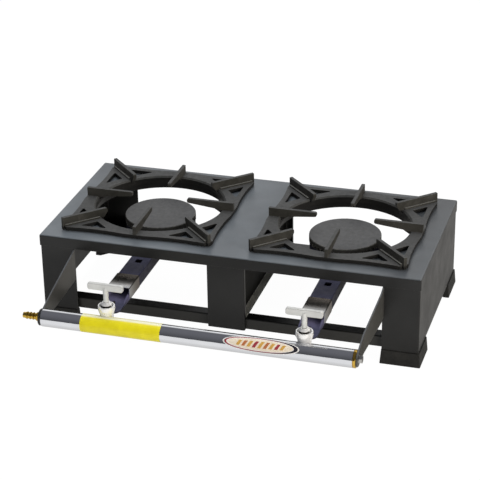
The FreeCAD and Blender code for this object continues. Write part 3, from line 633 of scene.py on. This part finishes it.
@dataclass(frozen=True)
class RubberFinish:
    """Moulded black rubber."""

    name: str
    dark: Colour = (0.008, 0.008, 0.007)
    pale: Colour = (0.017, 0.016, 0.014)
    gloss: float = 0.55
    matt: float = 0.75
    bloom: Grain = Grain(60.0, 6.0)
    sheen: Grain = Grain(200.0, 4.0)
    pores: Grain = Grain(1500.0, 3.0)
    pore_depth: float = 0.06 * MM

    def material(self) -> bpy.types.Material:
        """Build the finish.

        Returns:
            The material.
        """
        s = Shader(self.name)
        s.paint(s.mottled(self.dark, self.pale, self.bloom, SOFT))
        s.rough(s.noise(self.sheen), self.gloss, self.matt)
        s.bump(s.noise(self.pores), self.pore_depth)
        return s.material


@dataclass(frozen=True)
class VinylFinish:
    """Printed film stuck on the pipe, paler on top as a painted highlight where a colour for it is given.
    """

    name: str
    colour: Colour
    shade: Colour
    painted_highlight_top: Optional[Colour] = None
    painted_highlight_slope: Pair = (0.93, 0.995)
    gloss: float = 0.28
    matt: float = 0.43
    ink: Grain = Grain(55.0, 5.0)
    ink_range: Pair = (0.35, 0.7)
    sheen: Grain = Grain(140.0, 4.0)
    waves: Grain = Grain(260.0, 2.0)
    wave_depth: float = 0.03 * MM

    def material(self) -> bpy.types.Material:
        """Build the finish.

        Returns:
            The material.
        """
        s = Shader(self.name)
        colour = s.mottled(self.colour, self.shade, self.ink, self.ink_range)
        # Painted highlight: up-facing faces turn paler.
        if self.painted_highlight_top is not None:
            colour = s.blend(s.upward(self.painted_highlight_slope), colour, self.painted_highlight_top)
        s.paint(colour)
        s.rough(s.noise(self.sheen), self.gloss, self.matt)
        s.bump(s.noise(self.waves), self.wave_depth)
        return s.material


class Workshop:
    """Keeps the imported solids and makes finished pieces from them."""

    def __init__(self, frame: Dict[str, Dict[str, bpy.types.Object]]) -> None:
        self.nodes = frame["nodes"]
        self.materials: Dict[str, bpy.types.Material] = {}

    def coat(self, piece: bpy.types.Object, finish: Finish) -> None:
        """Give a piece its finish and report it.

        Args:
            piece: the piece.
            finish: its finish.
        """
        if finish.name not in self.materials:
            self.materials[finish.name] = finish.material()
        piece.data.materials.clear()
        piece.data.materials.append(self.materials[finish.name])
        LOG.info("%s: %d faces, %s", piece.name, len(piece.data.polygons), finish.name)

    def piece(self, name: str, bm: bmesh.types.BMesh, smooth: float = 35.0) -> bpy.types.Object:
        """Make an object of a bmesh.

        Args:
            name: name of the piece.
            bm: its mesh, freed here.
            smooth: faces meet smoothly under this angle, in degrees.

        Returns:
            The object, at the origin.
        """
        mesh = bpy.data.meshes.new(name)
        for face in bm.faces:
            face.smooth = True
        bm.to_mesh(mesh)
        bm.free()
        mesh.set_sharp_from_angle(angle=math.radians(smooth))
        made = bpy.data.objects.new(name, mesh)
        bpy.context.scene.collection.objects.link(made)
        return made

    def finished(self, node: str, finish: Finish, edge: float, least: float = 40.0) -> None:
        """Stand a copy with softened edges in for a solid.

        Args:
            node: name of the solid.
            finish: its finish.
            edge: width of the softened edges.
            least: edges sharper than this are softened, in degrees.
        """
        source = self.nodes[node]
        bm = bmesh.new()
        bm.from_mesh(source.data)
        bmesh.ops.remove_doubles(bm, verts=bm.verts, dist=MERGE)
        bmesh.ops.dissolve_limit(
            bm, angle_limit=FLAT, use_dissolve_boundaries=False, verts=bm.verts, edges=bm.edges
        )
        layer = bm.faces.layers.float.new(WORN)
        sharp = [e for e in bm.edges if e.is_manifold and e.calc_face_angle(0.0) > math.radians(least)]
        made = bmesh.ops.bevel(
            bm, geom=sharp, offset=edge, offset_type="OFFSET", affect="EDGES", segments=2,
            profile=0.5, material=-1, clamp_overlap=True, loop_slide=True,
        )
        for face in made["faces"]:
            face[layer] = 1.0
        piece = self.piece(node + "_finished", bm)
        flat = piece.modifiers.new("flat_faces", "WEIGHTED_NORMAL")
        flat.keep_sharp = True
        flat.weight = FLAT_WEIGHT
        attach(piece, source["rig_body"])
        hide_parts(node)
        self.coat(piece, finish)


class Assembly(Protocol):
    """A part of the stove that dresses its own pieces."""

    def dress(self, shop: Workshop) -> None:
        """Finish the pieces."""
        ...


@dataclass
class Body:
    """Folded sheet body: tray, side panels, posts, rails, channel, support bars, arms and feet."""

    edge: float = 0.35 * MM
    arm_edge: float = 0.6 * MM
    foot_edge: float = 0.8 * MM
    plate: Tuple[str, ...] = ("top_plate",)
    sheets: Tuple[str, ...] = (
        "side_panel_left", "side_panel_right", "centre_post_front", "centre_post_rear",
        "burner_bar_left", "burner_bar_right",
    )
    rails: Tuple[str, ...] = ("lower_rail_front", "lower_rail_rear")
    channel: Tuple[str, ...] = ("centre_channel",)
    arms: Tuple[str, ...] = ("pipe_arm_left", "pipe_arm_right")
    feet: Tuple[str, ...] = ("foot_front_left", "foot_front_right", "foot_rear_left", "foot_rear_right")
    # Top plate: level faces paler towards the left and the front, painted light.
    plate_painted_light: Finish = PaintFinish(
        "plate_paint_painted_light", dust_and_painted_light=(0.075, 0.081, 0.087), painted_light_left_front=(0.162, 0.184, 0.206)
    )
    baked: Finish = PaintFinish("baked_black_paint")
    # Rails: level faces near black as painted shade, upright faces paler as painted light.
    rail_painted_light_and_shade: Finish = PaintFinish(
        "rail_paint_painted_light_and_shade", dark=(0.020, 0.0198, 0.018), pale=(0.028, 0.0276, 0.025),
        dust_and_painted_light=(0.004, 0.004, 0.004),
    )
    # Channel: upright web darker as painted shade, level lip pale as painted light.
    channel_painted_light_and_shade: Finish = PaintFinish(
        "channel_paint_painted_light_and_shade", dark=(0.005, 0.005, 0.004), pale=(0.008, 0.0078, 0.0065),
        dust_and_painted_light=(0.52, 0.51, 0.45), gloss=0.45, matt=0.6, shine=0.06,
    )
    # Arms: a paler copy of the black paint, painted light.
    rubbed_and_painted_light: Finish = PaintFinish(
        "arm_paint_painted_light", dark=(0.044, 0.043, 0.039), pale=(0.055, 0.054, 0.049)
    )
    rubber: Finish = RubberFinish("moulded_rubber")

    def dress(self, shop: Workshop) -> None:
        """Finish the sheets and the feet.

        Args:
            shop: the workshop.
        """
        for nodes, finish, slot, edge in (
            (self.plate, self.plate_painted_light, Slot.PAINT, self.edge),
            (self.sheets, self.baked, Slot.PAINT, self.edge),
            (self.rails, self.rail_painted_light_and_shade, Slot.PAINT, self.edge),
            (self.channel, self.channel_painted_light_and_shade, Slot.PAINT, self.edge),
            (self.arms, self.rubbed_and_painted_light, Slot.PAINT, self.arm_edge),
            (self.feet, self.rubber, Slot.FOOT, self.foot_edge),
        ):
            for node in nodes:
                shop.finished(node, finish, edge)


@dataclass
class Burner:
    """One burner: casting, cap, air shutter and the grate above it."""

    side: Side
    frame_drop: float = 17.8 * MM
    ledge_drop: float = 14.0 * MM
    body_edge: float = 0.8 * MM
    cap_edge: float = 0.4 * MM
    shutter_edge: float = 0.2 * MM
    grate_edge: float = 0.9 * MM

    def dress(self, shop: Workshop) -> None:
        """Finish the burner's pieces.

        Args:
            shop: the workshop.
        """
        low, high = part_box(self.side.node("air_shutter"))
        # Tube and cap: paler level faces are partly painted light; the tube's paler throat by the shutter's
        # front is painted light.
        tube = IronFinish(
            "blued_casting_painted_light", low=(0.014, 0.014, 0.024), side=(0.022, 0.022, 0.040),
            top=(0.055, 0.057, 0.100), edge=(0.26, 0.26, 0.28), gloss=0.42, matt=0.6,
            sand_depth=0.12 * MM, mouth=low[1],
        )
        cap = IronFinish("cap_iron", top=(0.103, 0.104, 0.106), sand_depth=0.10 * MM)
        # Shutter: browner towards the rear and bright at the front lip, a painted reflection.
        zinc = PaintedReflectionSheet("zinc_painted_reflection", low[1], high[1])
        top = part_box(self.side.node("grate"))[1][2]
        # Grate: upright frame faces below the frame drop are painted shade, level faces at the ledge a
        # painted highlight.
        iron = IronFinish("grate_iron_painted_shade_and_highlight", frame_painted_shade_below=top - self.frame_drop, painted_highlight_ledge=top - self.ledge_drop)
        shop.finished(self.side.node("burner_body"), tube, self.body_edge)
        shop.finished(self.side.node("burner_cap"), cap, self.cap_edge)
        shop.finished(self.side.node("air_shutter"), zinc, self.shutter_edge)
        shop.finished(self.side.node("grate"), iron, self.grate_edge)


@dataclass
class Tap:
    """One tap: body, gland nut, spindle, T-handle, pin and injector."""

    side: Side
    cup_gap: float = 3.1 * MM
    floor_gap: float = 1.7 * MM
    body_edge: float = 0.25 * MM
    handle_edge: float = 0.6 * MM
    spindle_edge: float = 0.1 * MM
    small_edge: float = 0.15 * MM
    # The handle's softened edges are near white, a painted highlight.
    satin: Finish = MetalFinish(
        "satin_handle_painted_highlight", (0.76, 0.765, 0.745), (0.62, 0.625, 0.605), 0.34, 0.48,
        marks=Grain(180.0, 3.0, (6.0, 1.0, 1.0)), depth=0.06 * MM, metal=0.45, edge=(1.0, 1.0, 0.99),
    )
    brass: Finish = MetalFinish("aged_brass", (0.34, 0.25, 0.13), (0.26, 0.18, 0.09), 0.22, 0.36)

    def dress(self, shop: Workshop) -> None:
        """Finish the tap's pieces.

        Args:
            shop: the workshop.
        """
        # The plating's dark front of the cup is painted shade.
        low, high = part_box(self.side.node("gland_nut"))
        axis = ((low[0] + high[0]) / 2.0, (low[1] + high[1]) / 2.0)
        inside = (high[0] - low[0]) / 2.0 + self.cup_gap
        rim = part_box(self.side.node("tap_body"))[1][2]
        plated = CupPlating(self.side.node("tap_plating"), axis, inside, low[2] - self.floor_gap, rim)
        shop.finished(self.side.node("tap_body"), plated, self.body_edge)
        shop.finished(self.side.node("gland_nut"), plated, self.body_edge)
        shop.finished(self.side.node("tap_handle"), self.satin, self.handle_edge)
        shop.finished(self.side.node("tap_spindle"), self.brass, self.spindle_edge)
        shop.finished(self.side.node("handle_pin"), FASTENER, self.small_edge)
        shop.finished(self.side.node("injector"), self.brass, self.small_edge)


@dataclass(frozen=True)
class Patch:
    """A thin patch on the pipe: its middle along the pipe, half sizes, lift, finish and outline.

    A bar's upper end leans to the right of its middle by the slant.
    """

    name: str
    place: float
    half: Pair
    lift: float
    finish: Finish
    outline: Outline
    slant: float = 0.0


@dataclass
class GasRail:
    """Chrome pipe with its end fittings, the yellow film and the striped badge on it."""

    pipe_edge: float = 0.3 * MM
    barb_edge: float = 0.15 * MM
    fitting_edge: float = 0.2 * MM
    fasteners: Tuple[str, ...] = ("plug_washer", "plug_bolt", "shutter_screws", "burner_bolts")
    film_x: Pair = (-228.3 * MM, -72.5 * MM)
    film_turn: Pair = (-75.0, 122.0)
    film_lift: float = 0.12 * MM
    film_thick: float = 0.10 * MM
    film_cuts: int = 23
    film_steps: int = 40
    badge_x: float = 119.4 * MM
    badge_turn: float = 37.0
    badge_half: Pair = (71.4 * MM, 15.0 * MM)
    badge_step: float = 0.05 * MM
    badge_grid: Tuple[int, int] = (40, 24)
    bar_count: int = 9
    bar_pitch: float = 10.2 * MM
    bar_half: Pair = (3.0 * MM, 6.4 * MM)
    bar_slant: float = 3.6 * MM
    bar_taper: float = 0.07
    axis: Vector = field(init=False)
    radius: float = field(init=False)

    def __post_init__(self) -> None:
        """Read the pipe's axis and radius from its solid."""
        low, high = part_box("gas_pipe")
        self.axis = Vector((0.0, (low[1] + high[1]) / 2.0, (low[2] + high[2]) / 2.0))
        self.radius = (high[2] - low[2]) / 2.0

    def spot(self, turn: float, lift: float) -> Vector:
        """Point at x = 0, turned from the front over the top by radians and lifted off the pipe."""
        reach = self.radius + lift
        return self.axis + Vector((0.0, -math.cos(turn) * reach, math.sin(turn) * reach))

    def dress(self, shop: Workshop) -> None:
        """Finish the pipe and its fittings and add what is stuck on it.

        Args:
            shop: the workshop.
        """
        chrome = MetalFinish(
            "polished_chrome", (0.80, 0.81, 0.83), (0.76, 0.77, 0.80), 0.05, 0.10,
            marks=Grain(300.0, 3.0, (0.2, 6.0, 6.0)),
        )
        rough = MetalFinish("rough_brass", (0.78, 0.53, 0.10), (0.52, 0.32, 0.04), 0.18, 0.34)
        bright = MetalFinish("bright_brass", (0.74, 0.48, 0.09), (0.56, 0.34, 0.05), 0.06, 0.12)
        oxide = PaintFinish("black_oxide", dust_and_painted_light=(0.02, 0.02, 0.02))
        shop.finished("gas_pipe", chrome, self.pipe_edge)
        shop.finished("hose_barb", rough, self.barb_edge)
        shop.finished("pipe_plug", bright, self.fitting_edge)
        shop.finished("inlet_lock_nut", oxide, self.fitting_edge)
        for node in self.fasteners:
            shop.finished(node, FASTENER, self.fitting_edge)
        self.film(shop)
        self.badge(shop)

    def film(self, shop: Workshop) -> None:
        """Stick the plain yellow film round the front of the pipe.

        Args:
            shop: the workshop.
        """
        low, high = (math.radians(t) for t in self.film_turn)
        start = self.spot(low, self.film_lift)
        bm = bmesh.new()
        ends = [bm.verts.new((x, start.y, start.z)) for x in self.film_x]
        edge = bm.edges.new(ends)
        bmesh.ops.subdivide_edges(bm, edges=[edge], cuts=self.film_cuts)
        bmesh.ops.spin(
            bm, geom=bm.verts[:] + bm.edges[:], cent=self.axis, axis=(-1.0, 0.0, 0.0),
            angle=high - low, steps=self.film_steps,
        )
        bmesh.ops.recalc_face_normals(bm, faces=bm.faces)
        bmesh.ops.solidify(bm, geom=bm.faces[:], thickness=-self.film_thick)
        piece = shop.piece("pipe_film", bm)
        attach(piece, "stove")
        # The film's third colour is its paler top, a painted highlight.
        yellow = VinylFinish("yellow_film_painted_highlight", (0.90, 0.80, 0.008), (0.80, 0.70, 0.006), (0.94, 0.93, 0.68))
        shop.coat(piece, yellow)

    def stick(self, shop: Workshop, patch: Patch) -> None:
        """Stick a thin patch on the pipe.

        Args:
            shop: the workshop.
            patch: the patch.
        """
        bm = bmesh.new()
        across, around = self.badge_grid
        bmesh.ops.create_grid(bm, x_segments=across, y_segments=around, size=1.0)
        for vert in bm.verts:
            u, v = vert.co.x, vert.co.y
            if patch.outline is Outline.OVAL:
                u, v = u * math.sqrt(1.0 - v * v / 2.0), v * math.sqrt(1.0 - u * u / 2.0)
            turn = math.radians(self.badge_turn) + v * patch.half[1] / self.radius
            vert.co = self.spot(turn, patch.lift)
            vert.co.x = patch.place + u * patch.half[0] + v * patch.slant
        bmesh.ops.recalc_face_normals(bm, faces=bm.faces)
        bmesh.ops.solidify(bm, geom=bm.faces[:], thickness=-self.badge_step)
        piece = shop.piece(patch.name, bm)
        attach(piece, "stove")
        shop.coat(piece, patch.finish)

    def badge(self, shop: Workshop) -> None:
        """Stick the oval badge on the pipe: dark rim, pale border and a row of slanted bars.

        Args:
            shop: the workshop.
        """
        ink = VinylFinish("badge_ink", (0.014, 0.012, 0.020), (0.022, 0.020, 0.028))
        white = VinylFinish("badge_white", (0.80, 0.79, 0.77), (0.74, 0.73, 0.71))
        cream = VinylFinish("badge_cream", (0.80, 0.72, 0.58), (0.74, 0.64, 0.50))
        red = VinylFinish("badge_red", (0.36, 0.045, 0.055), (0.30, 0.035, 0.05))
        gold = VinylFinish("badge_gold", (0.62, 0.36, 0.08), (0.54, 0.30, 0.06))
        rust = VinylFinish("badge_rust", (0.50, 0.17, 0.06), (0.42, 0.14, 0.05))
        # Finish, rim and shift along the pipe of each oval, in millimetres
        ovals = (
            (white, 0.0, 0.0), (ink, 1.3, 0.0), (red, 1.9, -4.6), (white, 3.4, -1.6), (cream, 4.7, -1.0),
        )
        lift = self.badge_step
        for number, (finish, rim, aside) in enumerate(ovals):
            half = (self.badge_half[0] - (2.0 * rim + abs(aside)) * MM, self.badge_half[1] - rim * MM)
            place = self.badge_x + aside * MM
            self.stick(shop, Patch("badge_oval_%d" % number, place, half, lift, finish, Outline.OVAL))
            lift += self.badge_step
        middle = (self.bar_count - 1) / 2.0
        inks = (gold, rust, gold, red)
        for number in range(self.bar_count):
            size = 1.0 - self.bar_taper * abs(number - middle)
            half = (self.bar_half[0], self.bar_half[1] * size)
            place = self.badge_x + (number - middle) * self.bar_pitch
            finish = inks[number % len(inks)]
            slant = self.bar_slant * size
            self.stick(shop, Patch("badge_bar_%d" % number, place, half, lift, finish, Outline.BAR, slant))


@dataclass(frozen=True)
class Lamp:
    """A soft square lamp: place, side of the square, watts and colour."""

    name: str
    place: Point
    size: float
    power: float
    colour: Colour = WHITE

    def hang(self, aim: Vector) -> None:
        """Hang the lamp so that it looks at a point and isn't mirrored in the stove.

        Args:
            aim: the point.
        """
        data = bpy.data.lights.new(self.name, "AREA")
        data.size = self.size
        data.energy = self.power
        data.color = self.colour
        made = bpy.data.objects.new(self.name, data)
        made.visible_glossy = False
        bpy.context.scene.collection.objects.link(made)
        turn = (aim - Vector(self.place)).to_track_quat("-Z", "Y").to_matrix().to_4x4()
        made.matrix_world = Matrix.Translation(self.place) @ turn


@dataclass
class Studio:
    """Floor, light and camera."""

    focal: float = 1771.209
    frame: float = 480.0
    sensor: float = 36.0
    turn: float = 17.091
    tilt: float = 25.993
    roll: float = -0.998
    eye: Point = (0.901402, -2.925368, 1.665807)
    floor_half: float = 7.0
    floor_grey: float = 0.8
    floor_matt: float = 0.9
    floor_bright: Colour = (0.86, 0.86, 0.86)
    floor_dim: Colour = (0.36, 0.35, 0.335)
    bright_y: float = -0.36
    dim_y: float = -0.08
    glow: float = 1.06
    glow_share: float = 0.92
    rear_from: float = 0.44
    rear_to: float = 0.72
    room_low: Colour = (0.070, 0.072, 0.078)
    room_high: Colour = (0.150, 0.152, 0.170)
    room_rear: Colour = (0.95, 0.95, 0.95)
    ambient: Colour = (0.34, 0.345, 0.355)
    aim: Point = (0.0, 0.0, 0.1)
    lamps: Tuple[Lamp, ...] = (
        Lamp("top_lamp", (-0.3, 0.6, 2.2), 2.0, 30.0),
        Lamp("right_lamp", (2.2, -1.2, 0.8), 1.0, 55.0, (1.0, 0.94, 0.87)),
    )

    def camera(self) -> None:
        """Set the camera at the photograph's place."""
        a, e, r = (math.radians(t) for t in (self.turn, self.tilt, self.roll))
        back = Vector((math.sin(a) * math.cos(e), -math.cos(a) * math.cos(e), math.sin(e)))
        right = (-back).cross(Vector((0.0, 0.0, 1.0))).normalized()
        up = right.cross(-back)
        x = right * math.cos(r) + up * math.sin(r)
        y = up * math.cos(r) - right * math.sin(r)
        data = bpy.data.cameras.new("camera")
        data.sensor_width = self.sensor
        data.lens = self.focal * self.sensor / self.frame
        made = bpy.data.objects.new("camera", data)
        bpy.context.scene.collection.objects.link(made)
        made.matrix_world = Matrix.Translation(self.eye) @ Matrix((x, y, back)).transposed().to_4x4()
        bpy.context.scene.camera = made

    def floor(self) -> None:
        """Lay the plain pale floor: white to the camera, dimmer in reflections behind the pipe."""
        bm = bmesh.new()
        bmesh.ops.create_grid(bm, x_segments=2, y_segments=2, size=self.floor_half)
        mesh = bpy.data.meshes.new("floor")
        bm.to_mesh(mesh)
        bm.free()
        made = bpy.data.objects.new("floor", mesh)
        bpy.context.scene.collection.objects.link(made)
        s = Shader("pale_floor")
        grey = self.floor_grey
        s.set(Base_Color=(grey, grey, grey, 1.0), Roughness=self.floor_matt, Specular_IOR_Level=0.0)
        depth = s.span(s.along("Y"), self.bright_y, self.dim_y)
        mirrored = s.blend(depth, self.floor_bright, self.floor_dim)
        path = s.node("ShaderNodeLightPath").outputs
        glow = s.node("ShaderNodeEmission")
        glow.inputs["Strength"].default_value = self.glow
        s.wire(s.blend(path["Is Camera Ray"], mirrored, WHITE), glow.inputs["Color"])
        seen = path["Is Camera Ray"]
        for name in ("Is Glossy Ray", "Is Transmission Ray"):
            seen = s.maths("MAXIMUM", seen, path[name])
        mix = s.node("ShaderNodeMixShader")
        s.wire(s.span(seen, 0.0, 1.0, 0.0, self.glow_share), mix.inputs[0])
        s.wire(s.surface.outputs[0], mix.inputs[1])
        s.wire(glow.outputs[0], mix.inputs[2])
        s.wire(mix.outputs[0], s.find("OUTPUT_MATERIAL").inputs["Surface"])
        mesh.materials.append(s.material)

    def world(self) -> None:
        """Soft room: pale behind the stove, dark above and in front, white to the camera."""
        world = bpy.data.worlds.new("room")
        bpy.context.scene.world = world
        world.use_nodes = True
        s = Nodes(world.node_tree)
        way = s.node("ShaderNodeTexCoord").outputs["Generated"]
        rear = s.span(s.part(way, "Y"), self.rear_from, self.rear_to)
        rear.node.interpolation_type = "SMOOTHSTEP"
        shade = s.blend(s.part(way, "Z"), self.room_low, self.room_high)
        room = s.blend(rear, shade, self.room_rear)
        path = s.node("ShaderNodeLightPath").outputs
        soft = s.blend(path["Is Glossy Ray"], self.ambient, room)
        view = s.blend(path["Is Camera Ray"], soft, WHITE)
        s.wire(view, s.find("BACKGROUND").inputs["Color"])

    def build(self) -> None:
        """Set up the whole studio."""
        self.camera()
        self.floor()
        self.world()
        for lamp in self.lamps:
            lamp.hang(Vector(self.aim))
        bpy.context.scene.view_settings.view_transform = "Standard"


def main() -> None:
    """Build the stove's looks and the studio."""
    logging.basicConfig(level=logging.INFO, format="%(name)s %(message)s")
    shop = Workshop(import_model())
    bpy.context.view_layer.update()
    parts: List[Assembly] = [Body(), GasRail()]
    for side in Side:
        parts += [Burner(side), Tap(side)]
    for part in parts:
        part.dress(shop)
    Studio().build()


if __name__ == "__main__":
    main()
